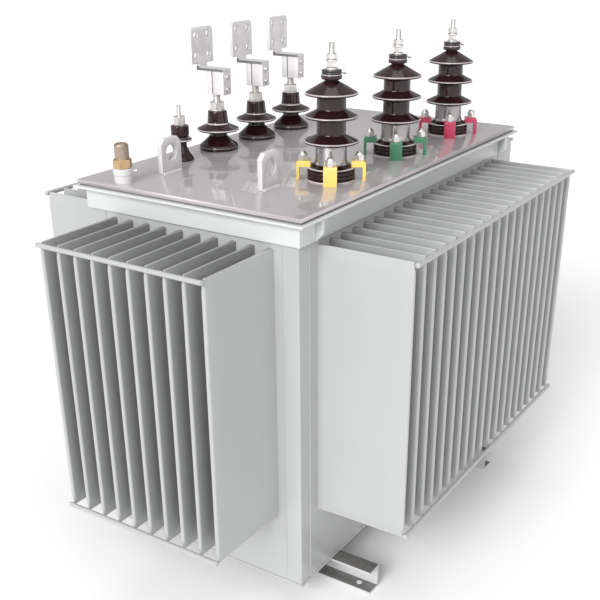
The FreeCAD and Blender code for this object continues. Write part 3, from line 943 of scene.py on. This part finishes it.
@dataclass
class FinRow:
    """One row of pressed cooling fins with the two bars that tie their noses."""

    side: Side
    count: int
    pitch: float = 45.0
    depth: float = 212.0
    thick: float = 10.0
    edge_thick: float = 4.0
    taper: float = 26.0
    flare: float = 5.0
    flare_reach: float = 26.0
    bead_radius: float = 2.4
    rod_radius: float = 5.0
    rod_overhang: float = 2.0
    lump: float = 1.0
    lump_width: float = 4.0
    sink: float = 2.0

    def build(self) -> None:
        """Builds the fins and the bars."""
        name, turn = self.side.value
        low, high = corners("fins_" + name)
        wall_high = corners("tank_walls")[1]
        wall = wall_high[0] if self.side in (Side.LEFT, Side.RIGHT) else wall_high[1]
        spin = Matrix.Rotation(math.radians(turn), 4, "Z")
        fins, bars = Shape(), Shape()
        places = (np.arange(self.count) - (self.count - 1) / 2) * self.pitch
        for i, place in enumerate(places):
            grid = self.fin(low[2], high[2])
            # Each fin's mark carries painted shade, strongest at the root.
            fins.grid(grid + (wall, place, 0.0), True,
                      self.gap_shade(grid, i == 0, i == len(places) - 1))
        for z in (low[2] + self.rod_radius, high[2] - self.rod_radius):
            bars.grid(self.bar(places, wall + self.depth + self.rod_radius, z), True)
        fit(fins.build("fin_row_" + name, turn=spin), Slot.TANK, ["fins_" + name])
        fit(bars.build("fin_bars_" + name, turn=spin), Slot.TANK, ["rods_" + name])

    def fin(self, bottom: float, top: float) -> np.ndarray:
        """One fin standing out along +X from x = 0.

        Rows run up the fin and columns round its outline: out along one face, round the nose
        and back. Half the thickness is the pressed edge plus a smooth step to the full sheet
        over the taper, plus a flare that dies away exponentially from the root near the ends.
        The last few millimetres close in a half-round weld.

        Args:
            bottom: Height of the lower end.
            top: Height of the upper end.

        Returns:
            Grid of points.
        """
        from_end = np.concatenate([self.bead_radius * (1 - np.cos(np.linspace(0, np.pi / 2, 5))),
                                   self.bead_radius + np.array([1.0, 5.0, 10.0, 15.0, 20.0]),
                                   [self.taper, self.taper + 12.0]])
        rows = np.concatenate([bottom + from_end, np.linspace(bottom, top, 9)[2:-2],
                               (top - from_end)[::-1]])[:, None]
        end = np.minimum(rows - bottom, top - rows)
        run = np.array([-self.sink, 0.0, 6.0, 14.0, 26.0, 45.0, 80.0, 130.0, 180.0])
        nose = np.linspace(-np.pi / 2, np.pi / 2, 9)
        straight = self.depth - self.thick / 2
        along = np.concatenate([run, straight + 0 * nose, run[::-1]])[None, :]
        across = np.concatenate([-np.ones_like(run), np.sin(nose), np.ones_like(run)])[None, :]
        ahead = np.concatenate([0 * run, np.cos(nose), 0 * run])[None, :]
        t = np.clip(end / self.taper, 0, 1)
        pressed = 1 - t * t * (3 - 2 * t)
        half = self.thick / 2 - (self.thick - self.edge_thick) / 2 * pressed
        flare = self.flare * np.exp(-np.maximum(along, 0) / self.flare_reach)
        half = half + flare * (0.35 + 0.65 * pressed)
        closing = np.sqrt(np.clip(1 - (1 - np.clip(end / self.bead_radius, 0, 1)) ** 2, 0, 1))
        half = half * closing
        return np.stack([along + ahead * half, across * half, rows + 0 * along], axis=-1)

    def gap_shade(self, grid: np.ndarray, first: bool, last: bool) -> np.ndarray:
        """How much painted shade each point gets: 0 at the nose, 1 at the root, 0 on the row's
        outer faces.

        Args:
            grid: Points of one fin.
            first: True for the row's first fin.
            last: True for its last fin.

        Returns:
            One mark a point.
        """
        into = np.clip(1 - grid[..., 0] / self.depth, 0, 1) ** 0.6
        if first:
            into = np.where(grid[..., 1] < 0, 0.0, into)
        if last:
            into = np.where(grid[..., 1] > 0, 0.0, into)
        return into

    def bar(self, places: np.ndarray, out: float, z: float) -> np.ndarray:
        """Round bar across the fin noses, with a weld lump at every nose.

        The radius is the bar's plus, towards the fins, lumps L exp(-(d / W)^2) at the
        distance d from each nose, and it closes in a rounded end.

        Args:
            places: Where the fins stand along the row.
            out: Distance of the bar from the tank's middle.
            z: Height of its axis.

        Returns:
            Grid of points.
        """
        half = places[-1] + self.thick / 2 + self.rod_overhang
        s = np.linspace(-half, half, int(half * 2 / 3.0))[:, None]
        nearest = np.abs(s - places[None, :]).min(axis=1, keepdims=True)
        closing = np.sqrt(np.clip((half - np.abs(s)) / 1.5, 0, 1))
        lump = self.lump * np.exp(-((nearest / self.lump_width) ** 2))
        angle = around(16)
        towards_fin = np.clip(-np.cos(angle), 0, 1)
        reach = (self.rod_radius + lump * towards_fin) * closing
        return np.stack([out + reach * np.cos(angle), s + 0 * angle,
                         z + reach * np.sin(angle)], axis=-1)


@dataclass
class HighVoltageBushing:
    """Tall porcelain with three sheds and its clamps; its collar, vent screw and terminal are
    built by HighVoltageFittings.
    """

    number: int
    clamp_slot: Slot
    foot: float = 51.0
    foot_height: float = 28.0
    shoulder: float = 43.0
    sleeve: float = 33.0
    core: float = 30.5
    sheds: tuple = ((80.0, 57.5), (131.0, 56.0), (177.0, 55.0))
    rise: float = 14.0
    neck: float = 13.5
    neck_z: float = 202.0
    head: float = 21.5
    head_z: float = 205.0
    cap_z: float = 215.0

    def profile(self) -> tuple[np.ndarray, np.ndarray]:
        """Outline of the porcelain and its marks.

        Returns:
            Rows of radius and height, and marks: towards 1 on the rims, -1 on the sleeve.
        """
        groove = self.foot_height / 7
        points = [(0, -2), (self.foot + 1, -2), (self.foot + 1.5, 1.5), (self.foot, 3.5)]
        for i in (1, 3, 5):
            points += [(self.foot, i * groove), (self.foot - 3, (i + 0.5) * groove),
                       (self.foot, (i + 1) * groove)]
        points += [(self.foot, self.foot_height - 1), (self.foot - 1, self.foot_height),
                   (self.shoulder, self.foot_height), (self.sleeve + 3, self.foot_height + 6),
                   (self.sleeve, self.foot_height + 12)]
        below = self.sleeve
        for i, (z, r) in enumerate(self.sheds):
            last = i == len(self.sheds) - 1
            points += [(below, z - 8), (below + 5, z - 3), (r - 1.5, z - 3), (r, z - 2),
                       (r, z + 1.0), (r - 2.5, z + 2.8)]
            points += [(self.neck, self.neck_z)] if last else [(self.core, z + self.rise)]
            below = self.core
        points += [(self.neck, self.neck_z + 1), (self.head - 1, self.head_z),
                   (self.head, self.head_z + 2), (self.head, self.cap_z - 2),
                   (self.head - 3, self.cap_z), (0, self.cap_z)]
        outline = rounded(points, 2.2, 3)
        # Pale rims sit just above each shed's edge: thin glaze with a painted highlight.
        rims = [(r, z + 1.7) for z, r in self.sheds]
        rims += [(self.foot - 0.5, self.foot_height - 0.5), (self.foot + 1.5, 1.5),
                 (self.head - 2, self.cap_z - 1)]
        marks = thin_glaze_and_highlight(outline, rims, 2.0, 1.3)
        film = (np.abs(outline[:, 0] - self.sleeve) < 3) & (outline[:, 1] < self.sheds[0][0] - 7)
        film &= outline[:, 1] > self.foot_height + 6
        return outline, np.where(film, -1.0, marks)

    def build(self) -> None:
        """Builds the porcelain and shows its clamps."""
        node = f"hv_bushing_{self.number}"
        x, y, _ = middle(node)
        outline, marks = self.profile()
        shape = Shape().lathe(outline, (x, y, deck()), 96, marks)
        fit(shape.build(f"hv_porcelain_{self.number}"), Slot.PORCELAIN, [node])
        eased(f"hv_clamps_{self.number}", self.clamp_slot, 1.6, 3)


@dataclass
class HighVoltageFittings:
    """Collars, vent screws, terminals and clamp nuts of the three tall bushings."""

    cap_r: float = 20.5
    cap_height: float = 8.0
    pin: float = 6.0
    pin_length: float = 53.0
    nut_flats: float = 19.0
    side_turn: float = -57.0
    clamp_at: float = 59.0
    clamp_turn: float = 30.0
    clamp_top: float = 40.0
    clamp_nut: float = 12.0

    def build(self) -> None:
        """Builds one piece of each kind, for all three bushings."""
        caps, terminals, nuts, vents = Shape(), Shape(), Shape(), Shape()
        for number in (1, 2, 3):
            x, y, _ = middle(f"hv_bushing_{number}")
            z = corners("hv_caps")[0][2]
            self.cap(caps, x, y, z)
            self.terminal(terminals, x, y, z + self.cap_height)
            self.clamp_nuts(nuts, x, y)
            self.vent(vents, x, y, z + self.cap_height / 2)
        fit(vents.build("vent_screws"), Slot.PLATED, ["hv_vent_screws"])
        fit(caps.build("hv_collars"), Slot.CAP, ["hv_caps"])
        fit(terminals.build("hv_pins"), Slot.PLATED, ["hv_terminals"])
        fit(nuts.build("clamp_fastenings"), Slot.PLATED, ["clamp_nuts"])

    def cap(self, shape: Shape, x: float, y: float, z: float) -> None:
        """Flat cap with a rounded edge and a slight waist."""
        outline = [(0, 0), (self.cap_r, 0), (self.cap_r, 2), (self.cap_r - 0.8, 3.5),
                   (self.cap_r, 5), (self.cap_r, self.cap_height), (0, self.cap_height)]
        shape.lathe(rounded(outline, 1.0), (x, y, z), 48)

    def vent(self, shape: Shape, x: float, y: float, z: float) -> None:
        """Side screw: a stem out of the cap and a round head with a rounded rim."""
        outline = rounded([(0, 0), (2.2, 0), (2.2, 3), (4.4, 3), (4.4, 9.5), (0, 9.5)], 0.9)
        side_lathe(shape, outline, (x, y, z), self.cap_r - 0.3, self.side_turn)

    def terminal(self, shape: Shape, x: float, y: float, z: float) -> None:
        """Threaded pin with two washers and two nuts."""
        fifth = self.pin_length / 5
        thread(shape, self.pin, 1.75, self.pin_length, (x, y, z))
        across, thick = 2 * self.pin, fifth / 2 - 1
        washer = rounded([(0, 0), (across, 0), (across, thick), (0, thick)], 0.6)
        shape.lathe(washer, (x, y, z), 32)
        shape.lathe(washer, (x, y, z + 1.5 * fifth), 32)
        nut(shape, self.nut_flats, fifth, (x, y, z + fifth / 2))
        nut(shape, self.nut_flats, fifth, (x, y, z + 2 * fifth), 30.0)

    def clamp_nuts(self, shape: Shape, x: float, y: float) -> None:
        """Nut and domed stud end at each of the four clamps."""
        for i in range(4):
            a = math.radians(self.clamp_turn + 90.0 * i)
            centre = (x + self.clamp_at * math.cos(a), y + self.clamp_at * math.sin(a),
                      deck() + self.clamp_top)
            nut(shape, self.nut_flats, self.clamp_nut, centre, self.clamp_turn + 90.0 * i)
            dome = rounded([(0, 11), (8.2, 11), (8.2, 13.5), (6.2, 17), (3.2, 18.8), (0, 19)], 1.0)
            shape.lathe(dome, centre, 24)


@dataclass
class LowVoltageSet:
    """Short bushings, studs, clamp blocks and palms of the low-voltage side."""

    stud: float = 9.0
    washer: float = 18.0
    washer_height: float = 3.0
    nut_flats: float = 32.0
    nut_height: float = 17.0
    screw: float = 6.0
    screw_depth: float = 5.0
    screw_socket: float = 2.8
    screw_inset: float = 12.0
    strap: float = 7.0

    def profile(self) -> tuple[np.ndarray, np.ndarray]:
        """Outline of a porcelain and the marks of its pale rims: thin glaze with a painted
        highlight.
        """
        points = [(0, -2), (43, -2), (45.5, 0), (46.5, 4), (46.5, 8), (44.5, 11), (27, 26),
                  (21, 32), (21, 41), (25, 43.5), (47, 43.5), (50, 45), (50, 48), (48, 50),
                  (27, 59), (26, 60), (26, 62), (24.7, 63.5), (22.5, 88.5), (20.5, 90), (0, 90)]
        outline = rounded(points, 2.0, 3)
        rims = [(50.0, 48.3), (46.5, 7.5), (26.0, 61.0)]
        return outline, thin_glaze_and_highlight(outline, rims, 1.2, 1.6, (1.0, 0.35, 1.0))

    def build(self) -> None:
        """Builds the porcelains and metal parts."""
        outline, marks = self.profile()
        strap = corners("lv_palm_1")[0][2] + self.strap + 2.0
        bar = replace(SAWN_BAR, sawn_below=strap * MM).build()
        studs = Shape()
        for number in (1, 2, 3):
            node = f"lv_bushing_{number}"
            x, y, _ = middle(node)
            shape = Shape().lathe(outline, (x, y, deck()), 80, marks)
            fit(shape.build(f"lv_porcelain_{number}"), Slot.PORCELAIN, [node])
            self.stud_parts(studs, x, y)
            eased(f"lv_palm_{number}", Slot.TINNED, 1.0, finish=bar)
        fit(studs.build("lv_stud_set"), Slot.PLATED, ["lv_studs"])
        self.clamp_screws()
        eased("lv_blocks", Slot.TINNED, 1.5, 3)

    def clamp_screws(self) -> None:
        """Two socket-headed screws across the slot of every block, on its outward face."""
        low, high = corners("lv_blocks")
        head, depth, socket = self.screw, self.screw_depth, self.screw_socket
        outline = rounded([(0, -1), (head, -1), (head, depth), (socket, depth),
                           (socket, 1), (0, 1)], 0.7)
        shape = Shape()
        for number in (1, 2, 3):
            x = middle(f"lv_bushing_{number}")[0]
            for z in (low[2] + self.screw_inset, high[2] - self.screw_inset):
                side_lathe(shape, outline, (x, low[1], z), 0.0, -90.0)
        fit(shape.build("block_screws"), Slot.PLATED)

    def stud_parts(self, shape: Shape, x: float, y: float) -> None:
        """Stud with its washer and nut."""
        z, top = corners("lv_studs")[0][2], corners("lv_studs")[1][2]
        thread(shape, self.stud, 2.0, top - z, (x, y, z), 32)
        washer = [(0, 0), (self.washer, 0), (self.washer, self.washer_height),
                  (0, self.washer_height)]
        shape.lathe(rounded(washer, 0.8), (x, y, z), 48)
        nut(shape, self.nut_flats, self.nut_height, (x, y, z + self.washer_height))


@dataclass
class NeutralBushing:
    """Small bushing of the star point with its stud."""

    nut_flats: float = 24.0
    nut_height: float = 20.0
    stud: float = 5.0

    def build(self) -> None:
        """Builds the porcelain and the terminal."""
        x, y, _ = middle("neutral_bushing")
        points = [(0, -3), (27, -3), (28.5, 0), (28.5, 4), (26, 7), (19, 18), (14, 32), (14, 41),
                  (16, 43), (25, 43.5), (27, 46), (25, 49), (18, 54), (20.5, 56), (20.5, 77),
                  (19, 78), (0, 78)]
        outline = rounded(points, 1.4, 3)
        marks = thin_glaze_and_highlight(outline, [(27.0, 46.0)], 1.5, 2.0)
        shape = Shape().lathe(outline, (x, y, deck()), 64, marks)
        fit(shape.build("neutral_porcelain"), Slot.PORCELAIN, ["neutral_bushing"])
        low, high = corners("neutral_terminal")
        metal = Shape()
        thread(metal, self.stud, 1.5, high[2] - low[2], (x, y, low[2]))
        nut(metal, self.nut_flats, self.nut_height, (x, y, low[2]))
        fit(metal.build("neutral_stud"), Slot.PLATED, ["neutral_terminal"])


@dataclass
class Filler:
    """Filler valve: painted base, brass nut, knurled cap and a thin lever."""

    base: float = 20.0
    base_height: float = 17.0
    ring: float = 21.5
    ring_height: float = 13.0
    nut_flats: float = 35.0
    knurl: float = 0.5
    knurls: int = 36
    dome: float = 5.0
    screw_turn: float = -57.0

    def build(self) -> None:
        """Builds the four pieces."""
        x, y, _ = middle("filler_base")
        low = corners("filler_base")[0][2]
        outline = [(0, -1), (self.base, -1), (self.base, self.base_height - 1.5),
                   (self.ring, self.base_height), (self.ring, self.base_height + self.ring_height),
                   (0, self.base_height + self.ring_height)]
        shape = Shape().lathe(rounded(outline, 1.5), (x, y, low), 48)
        fit(shape.build("filler_body"), Slot.LUG, ["filler_base"])
        nut_low, nut_high = corners("filler_nut")
        brass = Shape()
        nut(brass, self.nut_flats, nut_high[2] - nut_low[2], (x, y, nut_low[2]))
        fit(brass.build("filler_hex"), Slot.BRASS, ["filler_nut"])
        plug = Shape()
        outline = rounded([(0, 0), (2.5, 0), (2.5, 3), (4.0, 3), (4.0, 8), (0, 8)], 0.8)
        side_lathe(plug, outline, (x, y, middle("filler_screw")[2]), self.ring - 0.3,
                   self.screw_turn)
        fit(plug.build("filler_plug"), Slot.PLATED, ["filler_screw"])
        self.cap(x, y)
        eased("filler_lever", Slot.PLASTIC, 0.8)

    def cap(self, x: float, y: float) -> None:
        """Knurled cap with a low dome.

        The radius is the cap's less the knurl depth times |sin(n a / 2)|, and the top rows
        draw in along a quarter ellipse.
        """
        low, high = corners("filler_cap")
        radius = (high[0] - low[0]) / 2
        height, dome = high[2] - low[2], self.dome

        def reach(angle: np.ndarray, z: np.ndarray) -> np.ndarray:
            """Radius at that angle and height."""
            into = np.clip((z - height + dome) / dome, 0, 1)
            grooves = np.where((z > 2) & (z < height - dome), 1.0, 0.0)
            return (radius - self.knurl * grooves * np.abs(np.sin(self.knurls * angle / 2))) \
                * np.sqrt(np.clip(1 - 0.75 * into**2, 0, 1))

        rows = np.concatenate([[0, 1.9, 2.1, height / 2, height - dome - 0.1],
                               height - dome + dome * np.sin(np.linspace(0, np.pi / 2, 6))])
        shape = Shape().polar(reach, rows, (x, y, low[2]), self.knurls * 6)
        fit(shape.build("filler_knob"), Slot.KNURLED, ["filler_cap"])


@dataclass
class LiftingLugs:
    """Upright plates with eyes, welded to the cover."""

    thick: float = 12.0
    bead_radius: float = 3.5

    def build(self) -> None:
        """Eases the plates and runs a bead along both faces of each."""
        eased("lifting_lugs", Slot.LUG, 1.5, 3)
        low, high = corners("lifting_lugs")
        shape = Shape()
        for y in (low[1], low[1] + self.thick, high[1] - self.thick, high[1]):
            bead(shape, (low[0] + 2, y, low[2]), (high[0] - 2, y, low[2]), self.bead_radius)
        fit(shape.build("lug_welds"), Slot.LUG)


# ---- studio --------------------------------------------------------------------
@dataclass
class Studio:
    """Pale floor, soft lights and the camera."""

    eye: tuple = (-1.938889, -1.22152, 1.415531)
    yaw: float = -57.237
    pitch: float = -25.33
    roll: float = -0.191
    focal: float = 57.18
    shift: tuple = (-0.0194, 0.1194)
    world: float = 0.47
    floor_half: float = 90000.0
    windows: tuple = (("left_window", (1.0, 0.06, -0.50), 3.05, 34.0),
                      ("front_window", (0.25, 1.0, -0.25), 0.80, 60.0),
                      ("top_window", (0.05, 0.05, -1.0), 0.90, 60.0))

    def build(self) -> None:
        """Builds the floor, the lights and the camera."""
        self.floor()
        self.surroundings()
        for name, towards, strength, spread in self.windows:
            self.window(name, towards, strength, spread)
        self.camera()

    def floor(self) -> None:
        """Large square sheet under the skids."""
        sweep = np.linspace(-self.floor_half, self.floor_half, 3)
        x, y = np.meshgrid(sweep, sweep)
        floor = Shape().grid(np.stack([x, y, 0 * x], axis=-1)).build("studio_floor")
        floor.data.materials.append(PaleFloor().build())

    def surroundings(self) -> None:
        """Even pale light from all round."""
        world = bpy.data.worlds.new("studio_air")
        world.use_nodes = True
        air = world.node_tree.nodes["Background"]
        air.inputs["Color"].default_value = (1.0, 1.0, 1.0, 1.0)
        air.inputs["Strength"].default_value = self.world
        bpy.context.scene.world = world
        bpy.context.scene.view_settings.view_transform = "Standard"

    def window(self, name: str, towards: Sequence[float], strength: float,
               spread: float) -> None:
        """Broad distant light, as from a wide window.

        Args:
            name: Light's name.
            towards: Direction in which the light travels.
            strength: Watts per square metre.
            spread: Width of the source in degrees.
        """
        light = bpy.data.lights.new(name, "SUN")
        light.energy = strength
        light.angle = math.radians(spread)
        lamp = placed(name, light)
        lamp.matrix_world = Vector(towards).to_track_quat("-Z", "Y").to_matrix().to_4x4()

    def camera(self) -> None:
        """Camera at the eye point, turned by yaw, then pitch, then roll."""
        lens = bpy.data.cameras.new("camera")
        lens.sensor_width = 36.0
        lens.lens = self.focal
        lens.shift_x, lens.shift_y = self.shift
        eye = placed("camera", lens)
        turn = (Matrix.Rotation(math.radians(self.yaw), 4, "Z")
                @ Matrix.Rotation(math.radians(90.0 + self.pitch), 4, "X")
                @ Matrix.Rotation(math.radians(self.roll), 4, "Z"))
        eye.matrix_world = Matrix.Translation(self.eye) @ turn
        bpy.context.scene.camera = eye


def main() -> None:
    """Builds the looks piece by piece."""
    logging.basicConfig(level=logging.INFO, format="%(name)s: %(message)s")
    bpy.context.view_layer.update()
    Tank().build()
    for side, count in ((Side.FRONT, 20), (Side.BACK, 20), (Side.LEFT, 10), (Side.RIGHT, 10)):
        FinRow(side, count).build()
    for number, slot in ((1, Slot.YELLOW), (2, Slot.GREEN), (3, Slot.RED)):
        HighVoltageBushing(number, slot).build()
    HighVoltageFittings().build()
    LowVoltageSet().build()
    NeutralBushing().build()
    LiftingLugs().build()
    Filler().build()
    Studio().build()


if __name__ == "__main__":
    main()
